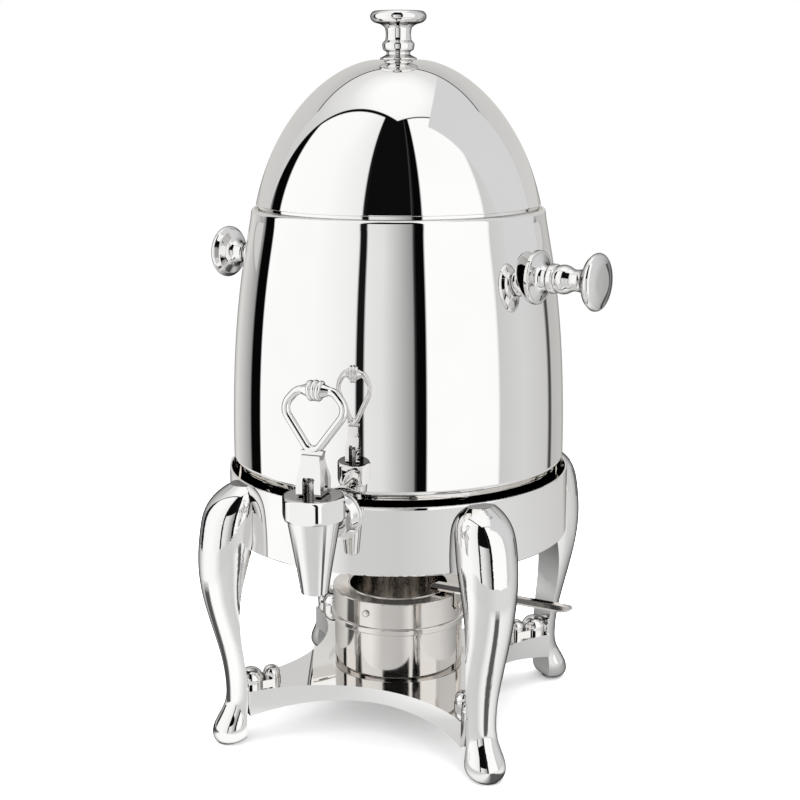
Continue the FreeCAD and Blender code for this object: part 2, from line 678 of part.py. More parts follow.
def burner_can():
    outer = BURNER_RADIUS - BURNER_WALL - LOOSE
    inner = outer - BURNER_WALL
    low, high = RECESS_FLOOR, BURNER_TOP - BURNER_WALL
    return turned([(0, low), (outer, low, 1.2), (outer, high), (inner, high),
                   (inner, low + BURNER_WALL, 0.6), (0, low + BURNER_WALL)])


def burner_cap():
    """Cap over the can, with a bead round its lower edge and a rolled mouth."""
    wall = BURNER_WALL
    out = BURNER_RADIUS
    low = BURNER_TOP - CAP_HEIGHT
    bead = low + BEAD_HEIGHT
    points = [(out - wall, low), (out + BEAD_STAND, low, 0.9), (out + BEAD_STAND, bead, 1.2),
              (out, bead, 0.4),
              (out, BURNER_TOP, 1.0), (BURNER_MOUTH + 1.2, BURNER_TOP, 0.3),
              (BURNER_MOUTH + 1.0, BURNER_TOP + 0.7, 0.6),
              (BURNER_MOUTH, BURNER_TOP + 0.7, 0.6), (BURNER_MOUTH, BURNER_TOP - 2.2, 0.4),
              (BURNER_MOUTH + 0.9, BURNER_TOP - 2.2, 0.4), (BURNER_MOUTH + 0.9, BURNER_TOP - wall),
              (out - wall, BURNER_TOP - wall)]
    cap = turned(points)
    for turn in rivet_turns():
        cap = cap.cut(laid_out(round_bar(RIVET_RADIUS + RUNNING, -4, 4), turn, out,
                               BURNER_TOP - RIVET_DROP))
    return cap


def rivet_turns():
    return [BURNER_TURN + 90 * i for i in range(4)]


def burner_rivets():
    rivets = []
    for i, turn in enumerate(rivet_turns()):
        seat = STRIP_THICKNESS + 0.4 if i == 0 else 0.3
        rivet = turned([(0, -BURNER_WALL - 0.3), (RIVET_RADIUS, -BURNER_WALL - 0.3), (RIVET_RADIUS, seat),
                        (RIVET_RADIUS + 1.1, seat), (RIVET_RADIUS + 1.1, seat + 1.5, 1.3), (0, seat + 1.5)])
        rivets.append(laid_out(rivet, turn, BURNER_RADIUS, BURNER_TOP - RIVET_DROP))
    return Part.makeCompound(rivets)


def burner_handle():
    """Flat strip across the cap, with a tab bent down and riveted to the cap's side."""
    half = STRIP_WIDTH / 2
    low = BURNER_TOP + STRIP_RISE
    crease = 0.9
    section = edges_of([(-half, low), (0, low + crease, 6), (half, low), (half, low + STRIP_THICKNESS),
                        (0, low + crease + STRIP_THICKNESS, 6), (-half, low + STRIP_THICKNESS)], on_xz)
    strip = face_of(section).extrude(V(0, -(STRIP_OUTER - STRIP_INNER), 0))
    strip.translate(V(0, -STRIP_INNER, 0))
    keep = plate([(-half, -STRIP_INNER, 1), (half, -STRIP_INNER, 1), (half, -STRIP_OUTER, half * 0.98),
                  (-half, -STRIP_OUTER, half * 0.98)], 20)
    keep.translate(V(0, 0, low - 5))
    strip = strip.common(keep)
    seat = BURNER_RADIUS + 0.3
    drop = RIVET_DROP + 4.5
    tab = plate([(-5, BURNER_TOP - drop, 4.5), (5, BURNER_TOP - drop, 4.5), (5, low + 1.2),
                 (-5, low + 1.2)],
                STRIP_THICKNESS, on_xz, V(0, -1, 0))
    tab.translate(V(0, -seat, 0))
    tab = tab.cut(laid_out(round_bar(RIVET_RADIUS + RUNNING, -4, 6), 0, seat, BURNER_TOP - RIVET_DROP))
    return placed(strip.fuse(tab).removeSplitter(), BURNER_TURN)


# Tap

def at_tap(shape):
    shape.translate(V(0, -TAP_REACH, 0))
    return shape


def tap_body():
    """Tapered body with a chamber and a raised seat over the outlet, and a shank through the wall."""
    kink = TAP_TOP - TAP_TAPER
    outlet = kink - TAP_SPOUT
    seat = CHAMBER_FLOOR + 1.5
    body = turned([(OUTLET_BORE, outlet, 0.5), (TAP_OUTLET_RADIUS, outlet, 0.8),
                   (TAP_KINK_RADIUS, kink, 20),
                   (TAP_TOP_RADIUS, TAP_TOP), (CHAMBER_RADIUS, TAP_TOP), (CHAMBER_RADIUS, CHAMBER_FLOOR, 1),
                   (OUTLET_BORE + 2, CHAMBER_FLOOR), (OUTLET_BORE + 2, seat, 0.4),
                   (OUTLET_BORE, seat, 0.4)])
    body = at_tap(body)
    inner_end = NECK_RADIUS - VESSEL_WALL - WASHER_THICKNESS - INNER_NUT_THICKNESS - 4
    shank = laid_out(round_bar(SHANK_RADIUS, inner_end - TAP_REACH + 6, -CHAMBER_RADIUS - 2), 0,
                     TAP_REACH, SHANK_Z)
    flare = laid_out(turned([(0, -CHAMBER_RADIUS - 7.5), (SHANK_RADIUS + 0.6, -CHAMBER_RADIUS - 7.5, 1),
                             (SHANK_RADIUS + 2.4, -CHAMBER_RADIUS - 2), (0, -CHAMBER_RADIUS - 2)]),
                     0, TAP_REACH, SHANK_Z)
    bore = laid_out(round_bar(SHANK_BORE, inner_end - TAP_REACH, 0), 0, TAP_REACH, SHANK_Z)
    inside = at_tap(round_bar(CHAMBER_RADIUS, CHAMBER_FLOOR + 2, TAP_TOP))
    return body.fuse([shank, flare]).cut(bore).cut(inside).removeSplitter()


def tap_bonnet():
    """Cap nut with six flats; its skirt hides the joint and its plug guides the stem."""
    low, high = TAP_TOP, BONNET_TOP
    outer = BONNET_RADIUS
    cap = turned([(0, low), (outer, low, 2.2), (outer, high, 3.0), (0, high)])
    cap = cap.common(hexagon(BONNET_FLATS, low, high))
    plug = round_bar(CHAMBER_RADIUS - LOOSE, low - 3, low)
    hole = round_bar(STEM_RADIUS + RUNNING, low - 5, high + 1)
    hollow = round_bar(CHAMBER_RADIUS - 3, low - 3, high - 5)
    return at_tap(cap.fuse(plug).cut(hollow).cut(hole).removeSplitter())


def tap_stem():
    """Rod through the bonnet, with an eye for the handle's pin and a foot in the rubber plug."""
    low = CHAMBER_FLOOR + 5.5
    rod = turned([(0, low), (STEM_RADIUS, low), (STEM_RADIUS, PIN_Z + STEM_RADIUS, STEM_RADIUS * 0.95),
                  (0, PIN_Z + STEM_RADIUS)])
    foot = turned([(0, low), (5, low), (5, low + 1.6, 0.3), (0, low + 1.6)])
    eye = Part.makeCylinder(PIN_RADIUS + RUNNING, 20, V(-10, 0, PIN_Z), V(1, 0, 0))
    return at_tap(rod.fuse(foot).cut(eye).removeSplitter())


def tap_seat_plug():
    """Rubber plug on the stem's foot, which closes the outlet."""
    low = CHAMBER_FLOOR + 1.5
    plug = turned([(0, low), (OUTLET_BORE + 2.6, low, 0.5), (OUTLET_BORE + 2.6, low + 3.4, 1.5),
                   (STEM_RADIUS + 2.4, low + 7.0, 1), (0, low + 7.0)])
    core = turned([(0, low + 4), (5 + RUNNING, low + 4), (5 + RUNNING, low + 5.6 + RUNNING),
                   (STEM_RADIUS + RUNNING, low + 5.6 + RUNNING), (STEM_RADIUS + RUNNING, low + 9),
                   (0, low + 9)])
    return at_tap(plug.cut(core))


def handle_block():
    """Block of the handle seen from the side is flat below with a cam nose; seen in front it is waisted."""
    half = HANDLE_DEPTH / 2
    nose = -CAM_REACH
    swing = math.radians(TAP_LIFT_TURN)
    cam_end = V(nose - PIN_HEIGHT * math.sin(swing), PIN_Z - PIN_HEIGHT * math.cos(swing), 0)
    cam_mid = V(nose - PIN_HEIGHT * math.sin(swing / 2), PIN_Z - PIN_HEIGHT * math.cos(swing / 2), 0)
    top = BONNET_TOP + HANDLE_HEIGHT
    neck = 5.2
    corner = V(nose, BONNET_TOP, 0)
    side = edges_of([(cam_end.x, cam_end.y), (cam_end.x, PIN_Z + 3, 3), (-neck, top - 6, 6), (-neck, top),
                     (neck, top), (neck, top - 7, 8), (half, PIN_Z + 4, 5), (half, BONNET_TOP, 2.5),
                     (corner.x, corner.y)], on_yz, closed=False)
    side.append(Part.Arc(on_yz(corner), on_yz(cam_mid), on_yz(cam_end)).toShape())
    profile = face_of(side).extrude(V(HANDLE_WIDTH + 4, 0, 0))
    profile.translate(V(-HANDLE_WIDTH / 2 - 2, 0, 0))
    wide = HANDLE_WIDTH / 2
    thin = HANDLE_NECK / 2
    front = plate([(-wide, BONNET_TOP, 1.6), (wide, BONNET_TOP, 1.6), (wide, PIN_Z + 4, 10),
                   (thin, top - 3, 14),
                   (thin, top), (-thin, top), (-thin, top - 3, 14), (-wide, PIN_Z + 4, 10)],
                  2 * HANDLE_DEPTH, on_xz, V(0, 1, 0))
    front.translate(V(0, -HANDLE_DEPTH, 0))
    block = profile.common(front)
    slot_top = PIN_Z + PIN_HEIGHT - 1
    slot = plate([(-HANDLE_SLOT / 2, BONNET_TOP - 1), (HANDLE_SLOT / 2, BONNET_TOP - 1),
                  (HANDLE_SLOT / 2, slot_top, 1), (-HANDLE_SLOT / 2, slot_top, 1)],
                 2 * HANDLE_DEPTH, on_xz, V(0, 1, 0))
    slot.translate(V(0, -HANDLE_DEPTH, 0))
    return block.cut(slot)


def heart_loop():
    """Cast loop, round in section: straight sides, wide shoulders and a clasp of three bands on top."""
    wide = HEART_WIDTH / 2 - HEART_TUBE
    tall = HEART_HEIGHT - HEART_TUBE
    outline = [(0, -1.5, 6), (wide + 2.6, tall * 0.72, 9.5), (wide * 0.62, tall, 9),
               (-wide * 0.62, tall, 9),
               (-wide - 2.6, tall * 0.72, 9.5)]
    path = Part.Wire(edges_of(outline, on_xz))
    start = path.Edges[0]
    way = start.tangentAt(start.FirstParameter)
    ring = Part.Wire(Part.makeCircle(HEART_TUBE, start.valueAt(start.FirstParameter), way))
    loop = path.makePipeShell([ring], True, True)
    thick = HEART_CLASP / 2
    middle = tall - thick + HEART_TUBE + 4.0
    reach = wide * 0.58
    swell = turned([(0, -reach), (HEART_TUBE * 0.7, -reach), (thick * 0.84, -2.4, 6),
                    (thick * 0.84, 2.4, 6),
                    (HEART_TUBE * 0.7, reach), (0, reach)])
    swell.rotate(V(0, 0, 0), V(0, 1, 0), 90)
    swell.translate(V(0, 0, middle))
    loop = loop.fuse(swell)
    band_half = HEART_BAND / 2
    for side in (-1, 0, 1):
        band = turned([(0, -band_half), (thick, -band_half, band_half * 0.9),
                       (thick, band_half, band_half * 0.9),
                       (0, band_half)])
        band.rotate(V(0, 0, 0), V(0, 1, 0), 90 + 8 * side)
        band.translate(V((HEART_BAND - 0.4) * side, 0, middle - 0.3 * abs(side)))
        loop = loop.fuse(band)
    half = HANDLE_NECK / 2
    deep = 2 * HEART_TUBE - 1.0
    foot = plate([(-half, -4), (half, -4), (half + 1.6, 2.4), (-half - 1.6, 2.4)], deep, on_xz, V(0, 1, 0))
    foot.translate(V(0, -deep / 2, 0))
    loop = loop.fuse(foot)
    loop.rotate(V(0, 0, 0), V(1, 0, 0), -HEART_LEAN)
    loop.translate(V(0, 0, BONNET_TOP + HANDLE_HEIGHT))
    return loop


def tap_handle():
    block = handle_block()
    pin = Part.makeCylinder(PIN_RADIUS + RUNNING, 2 * HANDLE_WIDTH, V(-HANDLE_WIDTH, 0, PIN_Z), V(1, 0, 0))
    shape = block.fuse(heart_loop()).cut(pin)
    half = DENT_WIDTH / 2
    low = PIN_Z - half
    for side in (-1, 1):
        dent = plate([(-half, low, half * 0.96), (half, low, half * 0.96),
                      (half, low + DENT_HEIGHT, half * 0.96),
                      (-half, low + DENT_HEIGHT, half * 0.96)], side * 10, on_yz, V(1, 0, 0))
        dent.translate(V(side * (HANDLE_WIDTH / 2 - DENT_DEPTH), 0, 0))
        shape = shape.cut(dent)
    return at_tap(shape.removeSplitter())


def tap_handle_pin():
    reach = HANDLE_WIDTH / 2 - 1.0
    return at_tap(Part.makeCylinder(PIN_RADIUS, 2 * reach, V(-reach, 0, PIN_Z), V(1, 0, 0)))


def tap_escutcheon():
    """Dished cover with a rolled rim that hides the notch in the ring."""
    back = RING_RADIUS + 0.3
    front = back + ESCUTCHEON_DEPTH
    rim = ESCUTCHEON_RADIUS
    sheet = ESCUTCHEON_SHEET
    points = [(SHANK_RADIUS + SEAT, ESCUTCHEON_DEPTH - sheet), (rim - 6, ESCUTCHEON_DEPTH - sheet, 3),
              (rim - 2.2, 1.6, 2), (rim - 2.2, 0, 0.4), (rim, 0, 1.0), (rim, 2.4, 1.1),
              (rim - 1.6, 2.6, 1.2),
              (rim - 5.3, ESCUTCHEON_DEPTH, 4), (SHANK_RADIUS + SEAT, ESCUTCHEON_DEPTH)]
    return laid_out(turned(points), 0, front - ESCUTCHEON_DEPTH, SHANK_Z)


def neck_filled(grow):
    return round_bar(NECK_RADIUS + grow, VESSEL_FLOOR, VESSEL_FLOOR + 2 * NECK_HEIGHT)


def tap_seal_washers():
    """Two rubber washers shaped to the vessel's curve, one outside and one inside."""
    outer = laid_out(round_tube(SPACER_RADIUS, SHANK_RADIUS + SEAT, -4, WASHER_THICKNESS), 0,
                     NECK_RADIUS, SHANK_Z)
    outer = outer.cut(neck_filled(SEAT))
    inner = laid_out(round_tube(WASHER_RADIUS + 1, SHANK_RADIUS + SEAT, -WASHER_THICKNESS - VESSEL_WALL, 2),
                     0, NECK_RADIUS, SHANK_Z)
    inner = inner.common(neck_filled(-VESSEL_WALL - SEAT))
    return Part.makeCompound([outer, inner])


def tap_spacer():
    start = NECK_RADIUS + WASHER_THICKNESS
    stop = RING_RADIUS + 0.3 + ESCUTCHEON_DEPTH - ESCUTCHEON_SHEET
    return laid_out(round_tube(SPACER_RADIUS, SHANK_RADIUS + SEAT, 0, stop - start), 0, start, SHANK_Z)


def tap_shank_nut():
    start = RING_RADIUS + 0.3 + ESCUTCHEON_DEPTH
    nut = hexagon(SHANK_NUT_FLATS, 0, SHANK_NUT_THICKNESS, FLATS_FRONT)
    dome = turned([(0, 0), (SHANK_NUT_FLATS * 0.56, 0), (SHANK_NUT_FLATS * 0.56, SHANK_NUT_THICKNESS, 2),
                   (0, SHANK_NUT_THICKNESS)])
    nut = nut.common(dome).cut(round_bar(SHANK_RADIUS + RUNNING, -1, SHANK_NUT_THICKNESS + 1))
    return laid_out(nut, 0, start, SHANK_Z)


def tap_inner_nut():
    start = NECK_RADIUS - VESSEL_WALL - WASHER_THICKNESS
    nut = hexagon(SHANK_NUT_FLATS, -INNER_NUT_THICKNESS, 0, FLATS_FRONT)
    return laid_out(nut.cut(round_bar(SHANK_RADIUS + RUNNING, -INNER_NUT_THICKNESS - 1, 1)), 0, start,
                    SHANK_Z)


def build():
    legs = around(leg())
    right_knob, left_knob = side_knobs()
    knob_washers, knob_nuts = side_knob_hardware()
    pieces = {
        "stand_ring": stand_ring(), "leg_front_right": legs[0], "leg_back_right": legs[1],
        "leg_back_left": legs[2], "leg_front_left": legs[3], "foot_pads": foot_pads(),
        "leg_screws": leg_screws(), "base_plate": base_plate(), "base_screws": base_screws(),
        "base_cap_nuts": base_cap_nuts(),
        "urn_body": urn_body(), "urn_floor": urn_floor(), "side_knob_right": right_knob,
        "side_knob_left": left_knob,
        "side_knob_washers": knob_washers, "side_knob_nuts": knob_nuts,
        "lid_dome": lid_dome(), "lid_inner_collar": lid_inner_collar(), "lid_knob": lid_knob(),
        "lid_knob_washer": lid_knob_washer(), "lid_knob_nut": lid_knob_nut(),
        "tap_body": tap_body(), "tap_bonnet": tap_bonnet(), "tap_stem": tap_stem(),
        "tap_seat_plug": tap_seat_plug(), "tap_handle": tap_handle(), "tap_handle_pin": tap_handle_pin(),
        "tap_escutcheon": tap_escutcheon(), "tap_shank_nut": tap_shank_nut(), "tap_spacer": tap_spacer(),
        "tap_seal_washers": tap_seal_washers(), "tap_inner_nut": tap_inner_nut(),
        "burner_can": burner_can(), "burner_cap": burner_cap(), "burner_handle": burner_handle(),
        "burner_rivets": burner_rivets(),
    }
    os.makedirs("parts", exist_ok=True)
    for name, shape in pieces.items():
        shape.exportStep("parts/" + name + ".step")
        box = shape.BoundBox
        print(name, len(shape.Solids), shape.isValid(), round(shape.Volume),
              [round(x, 1) for x in (box.XMin, box.YMin, box.ZMin, box.XMax, box.YMax, box.ZMax)])


build()
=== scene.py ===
import json
import math

import bpy
from mathutils import Matrix, Vector


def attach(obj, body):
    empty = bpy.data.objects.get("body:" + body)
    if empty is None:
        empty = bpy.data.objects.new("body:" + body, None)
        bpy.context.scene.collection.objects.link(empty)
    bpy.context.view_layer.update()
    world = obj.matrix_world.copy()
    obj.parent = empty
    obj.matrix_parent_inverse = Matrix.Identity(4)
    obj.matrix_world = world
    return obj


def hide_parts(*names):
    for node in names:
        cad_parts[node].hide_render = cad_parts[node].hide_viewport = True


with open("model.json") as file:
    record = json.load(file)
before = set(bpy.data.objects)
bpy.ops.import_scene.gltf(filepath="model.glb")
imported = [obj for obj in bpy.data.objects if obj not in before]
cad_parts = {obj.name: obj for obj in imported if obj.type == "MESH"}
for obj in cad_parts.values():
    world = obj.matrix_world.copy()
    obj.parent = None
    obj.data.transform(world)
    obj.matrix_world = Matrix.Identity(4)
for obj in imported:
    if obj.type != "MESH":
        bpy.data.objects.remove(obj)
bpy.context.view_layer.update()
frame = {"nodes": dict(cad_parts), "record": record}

MM = 0.001
STEPS = 192                 # facets round a turned piece
KNOB_STEPS = 128            # facets round a side knob
COVER_STEPS = 96            # facets round the escutcheon
ARC_STEP = math.radians(9)  # between points on a rounded corner
CURVE_STEPS = 72            # along a smooth curve
SHARP = math.radians(32)    # edges of the CAD meshes that turn by more than this stay sharp

# Sizes that repeat the CAD model's, in millimetres
VESSEL_RADIUS = 122.2
VESSEL_FLOOR = 150.2
VESSEL_TOP = 386.9
VESSEL_WALL = 1.2
NECK_RADIUS = 117.5
FLANGE_RADIUS = 103.5
THROAT = 199.6
FLANK_BASE = 209.2
FLANK_TOP = 380.3
MOUTH_RADIUS = 103.3
MOUTH_OUTSIDE = 106.7
LEDGE = 384.3
LEDGE_RADIUS = 96.3
LID_RADIUS = 102.6
LID_EDGE = 389.3
LID_TOP = 490.8
LID_FLAT = 14.0
KNOB_HEIGHT = 34.1
KNOB_TOP_RADIUS = 20.8
KNOB_FLANGE = 13.1
KNOB_STUD = 3.0
SIDE_Z = 344.2
SIDE_FOOT = 114.9
SIDE_REACH = 165.0
SIDE_TURNS = {"right": 75.0, "left": 255.0}
SIDE_DISC_RADIUS = 20.0
ROSETTE_RADIUS = 18.7
SIDE_STUD = 4.0
RING_RADIUS = 126.0
SHANK_Z = 191.0
SHANK_RADIUS = 7.0
ESCUTCHEON_RADIUS = 17.5
ESCUTCHEON_DEPTH = 8.4
ESCUTCHEON_GAP = 0.3
BURNER_RADIUS = 49.9
BURNER_FLOOR = 38.4
BURNER_TOP = 100.9
BURNER_MOUTH = 37.1
BURNER_WALL = 0.8
CAN_LOOSE = 0.4
CAP_DEPTH = 24.3
BEAD_OUT = 1.3
BEAD_HEIGHT = 5

# Poles of the two long curves, as shares of their height and width. They are set for the photo's
# reflections, so the flank lies up to 0.7 mm and the dome up to 2 mm inside the CAD model's.
FLANK_LOW_RISE = 0.613
FLANK_HIGH_RISE = 0.86
FLANK_HIGH_OUT = 0.24
DOME_START = 0.8            # mm above the lid's edge
DOME_LEAN = 3.2             # mm that the foot of the dome leans in
DOME_LEAN_RISE = 0.13
DOME_SIDE_IN = 0.183
DOME_SIDE_RISE = 0.758
DOME_CROWN_IN = 0.726
TURN_IN = 0.8               # shares of the wall that the inner face moves in and down where the dome turns
TURN_DOWN = 0.7


# Turned pieces

def bezier_run(poles):
    """Points and outward normals along the smooth curve that an outline's poles pull into shape."""
    points = [Vector(p) for p in poles]
    run = []
    for k in range(CURVE_STEPS + 1):
        t = k / CURVE_STEPS
        level, slope = list(points), None
        while len(level) > 1:
            if len(level) == 2:
                slope = level[1] - level[0]
            level = [a.lerp(b, t) for a, b in zip(level, level[1:])]
        if slope.length < 1e-9:
            slope = points[-1] - points[0]
        slope.normalize()
        run.append((level[0], Vector((slope.y, -slope.x))))
    return run


def straight(a, b):
    """Points and outward normals of a straight side."""
    way = (b - a).normalized()
    out = Vector((way.y, -way.x))
    return [(a, out), (b, out)]


def corner(back, here, on, radius):
    """Points and outward normals round a corner, from one side to the next."""
    u, w = (back - here).normalized(), (on - here).normalized()
    half = u.angle(w) / 2
    reach = radius / math.tan(half)
    centre = here + (u + w).normalized() * (radius / math.sin(half))
    start = here + u * reach
    outward = 1 if (-u).x * w.y - (-u).y * w.x > 0 else -1
    first = (start - centre).normalized()
    turn = math.pi - 2 * half
    count = max(2, math.ceil(turn / ARC_STEP))
    run = []
    for k in range(count + 1):
        a = turn * k / count * outward
        spoke = Vector((first.x * math.cos(a) - first.y * math.sin(a),
                        first.x * math.sin(a) + first.y * math.cos(a)))
        run.append((centre + spoke * radius, spoke * outward))
    return run


def outline_runs(items):
    """Runs of (point, normal) along an outline of (r, z), (r, z, corner radius) and lists of curve poles."""
    def ends(item):
        if isinstance(item, list):
            return Vector(item[0]), Vector(item[-1])
        return Vector(item[:2]), Vector(item[:2])

    runs, at = [], None
    for i, item in enumerate(items):
        if isinstance(item, list):
            run = bezier_run(item)
        elif len(item) > 2 and 0 < i < len(items) - 1:
            run = corner(ends(items[i - 1])[1], Vector(item[:2]), ends(items[i + 1])[0], item[2])
        else:
            run = [(Vector(item[:2]), None)]
        if at is not None and (run[0][0] - at).length > 1e-5:
            runs.append(straight(at, run[0][0]))
        if len(run) > 1:
            runs.append(run)
        at = run[-1][0]
    return runs


def mesh_object(name, points, faces, normals=None, place=None):
    """Smooth object from points in metres, with a normal for each corner of its faces if given."""
    mesh = bpy.data.meshes.new(name)
    mesh.from_pydata(points, [], faces)
    mesh.polygons.foreach_set("use_smooth", [True] * len(faces))
    if normals:
        mesh.normals_split_custom_set(normals)
    if place:
        mesh.transform(place)
    mesh.update()
    obj = bpy.data.objects.new(name, mesh)
    bpy.context.scene.collection.objects.link(obj)
    return obj


def turned(name, items, place=None, steps=STEPS):
    """Mesh turned about Z from an outline walked with its outside on the right, with exact normals."""
    spin = [(math.cos(2 * math.pi * j / steps), math.sin(2 * math.pi * j / steps)) for j in range(steps)]
    points, rings = [], {}

    def ring(p):
        key = (round(p.x, 4), round(p.y, 4))
        if key not in rings:
            rings[key] = len(points)
            if p.x < 1e-4:
                points.append((0, 0, p.y * MM))
            else:
                points.extend((p.x * c * MM, p.x * s * MM, p.y * MM) for c, s in spin)
        return rings[key]

    faces, normals = [], []
    for run in outline_runs(items):
        for (a, na), (b, nb) in zip(run, run[1:]):
            ra, rb = ring(a), ring(b)
            if ra == rb:
                continue
            for j in range(steps):
                k = (j + 1) % steps
                face, ways = [], []
                corners = [(a, ra, na, j), (a, ra, na, k), (b, rb, nb, k), (b, rb, nb, j)]
                if a.x < 1e-4:
                    corners = [corners[0], corners[2], corners[3]]
                elif b.x < 1e-4:
                    corners = [corners[0], corners[1], corners[3]]
                for p, first, n, at in corners:
                    face.append(first if p.x < 1e-4 else first + at)
                    c, s = spin[at]
                    ways.append((n.x * c, n.x * s, n.y))
                faces.append(face)
                normals.extend(ways)
    return mesh_object(name, points, faces, normals, place)


def laid_out(turn, radial, height):
    """Place of a piece built along Z that points outward at the angle turn, its foot at radial."""
    return (Matrix.Rotation(math.radians(turn), 4, "Z")
            @ Matrix.Translation((0, -radial * MM, height * MM))
            @ Matrix.Rotation(math.pi / 2, 4, "X"))


def flank_poles(shift=0.0):
    """Poles up the vessel's flank, moved inward by shift."""
    rise = FLANK_TOP - FLANK_BASE
    drawn = VESSEL_RADIUS - MOUTH_OUTSIDE
    return [(VESSEL_RADIUS - shift, FLANK_BASE),
            (VESSEL_RADIUS - shift, FLANK_BASE + FLANK_LOW_RISE * rise),
            (MOUTH_OUTSIDE + FLANK_HIGH_OUT * drawn - shift, FLANK_BASE + FLANK_HIGH_RISE * rise),
            (MOUTH_OUTSIDE - shift, FLANK_TOP)]


def dome_poles(shift=0.0):
    """Poles up the dome to its flat top, moved inward by shift."""
    base = LID_EDGE + DOME_START
    rise = LID_TOP - base
    span = LID_RADIUS - LID_FLAT
    side = LID_RADIUS - DOME_SIDE_IN * span - TURN_IN * shift
    return [(LID_RADIUS - shift, base), (LID_RADIUS - DOME_LEAN - shift, base + DOME_LEAN_RISE * rise),
            (side, base + DOME_SIDE_RISE * rise - TURN_DOWN * shift),
            (LID_RADIUS - DOME_CROWN_IN * span, LID_TOP - shift), (LID_FLAT, LID_TOP - shift)]


# Shader helpers

MIX_FACTOR, MIX_UNDER, MIX_TOP, MIX_RESULT = 0, 6, 7, 2     # sockets of a Mix node that mixes colours


def new_material(name):
    made = bpy.data.materials.new(name)
    made.use_nodes = True
    tree = made.node_tree
    return made, tree, tree.nodes["Principled BSDF"]


def noise(tree, scale, detail=3.0, stretch=(1, 1, 1)):
    """Fac output of a noise over the surface, in metres, so that it has a real scale."""
    place = tree.nodes.new("ShaderNodeTexCoord")
    mapping = tree.nodes.new("ShaderNodeMapping")
    mapping.inputs["Scale"].default_value = stretch
    texture = tree.nodes.new("ShaderNodeTexNoise")
    texture.inputs["Scale"].default_value = scale
    texture.inputs["Detail"].default_value = detail
    tree.links.new(place.outputs["Object"], mapping.inputs["Vector"])
    tree.links.new(mapping.outputs["Vector"], texture.inputs["Vector"])
    return texture.outputs["Fac"]


def ranged(tree, source, low, high, to_low, to_high):
    """Source carried from the range low to high over to the range to_low to to_high."""
    node = tree.nodes.new("ShaderNodeMapRange")
    for socket, value in zip(("From Min", "From Max", "To Min", "To Max"), (low, high, to_low, to_high)):
        node.inputs[socket].default_value = value
    tree.links.new(source, node.inputs["Value"])
    return node.outputs["Result"]


def coloured(tree, source, stops):
    """Colour of a ramp with stops of (place, colour), read at source."""
    node = tree.nodes.new("ShaderNodeValToRGB")
    ramp = node.color_ramp
    while len(ramp.elements) < len(stops):
        ramp.elements.new(0.5)
    for element, (at, colour) in zip(ramp.elements, stops):
        element.position = at
        element.color = (*colour, 1)
    tree.links.new(source, node.inputs["Fac"])
    return node.outputs["Color"]


def mixed(tree, under, top, mask):
    """Top, a tuple or a socket, where mask is 1, and under where it is 0."""
    node = tree.nodes.new("ShaderNodeMix")
    node.data_type = "RGBA"
    tree.links.new(mask, node.inputs[MIX_FACTOR])
    tree.links.new(under, node.inputs[MIX_UNDER])
    if isinstance(top, tuple):
        node.inputs[MIX_TOP].default_value = (*top, 1)
    else:
        tree.links.new(top, node.inputs[MIX_TOP])
    return node.outputs[MIX_RESULT]


def for_rays(tree, rays, kind, others, these):
    """Shader that is these to one kind of ray and others to the rest."""
    mix = tree.nodes.new("ShaderNodeMixShader")
    tree.links.new(rays.outputs[kind], mix.inputs[0])
    tree.links.new(others.outputs[0], mix.inputs[1])
    tree.links.new(these.outputs[0], mix.inputs[2])
    return mix


def round_stops(tones, strength=1.0):
    """Ramp stops for a radial gradient from (degrees, tone), with 0 degrees at its middle."""
    return [(degrees / 360 + 0.5, (tone * strength,) * 3) for degrees, tone in tones]


# Materials

CLOUD_SCALE = 14.0          # noise cells to the metre
WAVE_SCALE = 22.0
DRAWN_OUT = (1, 1, 0.15)    # draws the polishing marks out along Z
DARKER, LIGHTER = 0.3, 0.7  # part of a noise's range that is used

# Bright colour, dull colour and range of roughness
STEEL = ((0.935, 0.93, 0.922), (0.905, 0.90, 0.892), (0.004, 0.012))
CASTING = ((0.935, 0.93, 0.922), (0.89, 0.885, 0.877), (0.006, 0.02))
BURNER = ((0.80, 0.775, 0.745), (0.70, 0.67, 0.64), (0.07, 0.13))
FASTENER = ((0.75, 0.74, 0.73), (0.6, 0.59, 0.58), (0.15, 0.3))
RUBBER = ((0.03, 0.03, 0.03), (0.012, 0.012, 0.012), (0.5, 0.7))


def metal(name, bright, dull, rough, wave, grain_scale=900, grain=0.0, edge_tint=1.0):
    """Metal with faint clouding, fine polishing marks in its gloss, and waves of the given height in metres.

    A low edge tint darkens the metal where it turns away."""
    made, tree, shader = new_material(name)
    shader.inputs["Metallic"].default_value = 1.0
    shader.inputs["Specular Tint"].default_value = (edge_tint, 0.98 * edge_tint, 0.95 * edge_tint, 1)
    clouds = noise(tree, CLOUD_SCALE)
    tree.links.new(coloured(tree, clouds, [(DARKER, dull), (LIGHTER, bright)]), shader.inputs["Base Color"])
    marks = noise(tree, grain_scale, 4.0, DRAWN_OUT)
    tree.links.new(ranged(tree, marks, DARKER, LIGHTER, *rough), shader.inputs["Roughness"])
    bump = tree.nodes.new("ShaderNodeBump")
    bump.inputs["Strength"].default_value = 1.0
    bump.inputs["Distance"].default_value = wave
    tree.links.new(noise(tree, WAVE_SCALE, 1.0), bump.inputs["Height"])
    out = bump
    if grain:
        fine = tree.nodes.new("ShaderNodeBump")
        fine.inputs["Distance"].default_value = grain
        tree.links.new(marks, fine.inputs["Height"])
        tree.links.new(bump.outputs["Normal"], fine.inputs["Normal"])
        out = fine
    tree.links.new(out.outputs["Normal"], shader.inputs["Normal"])
    return made


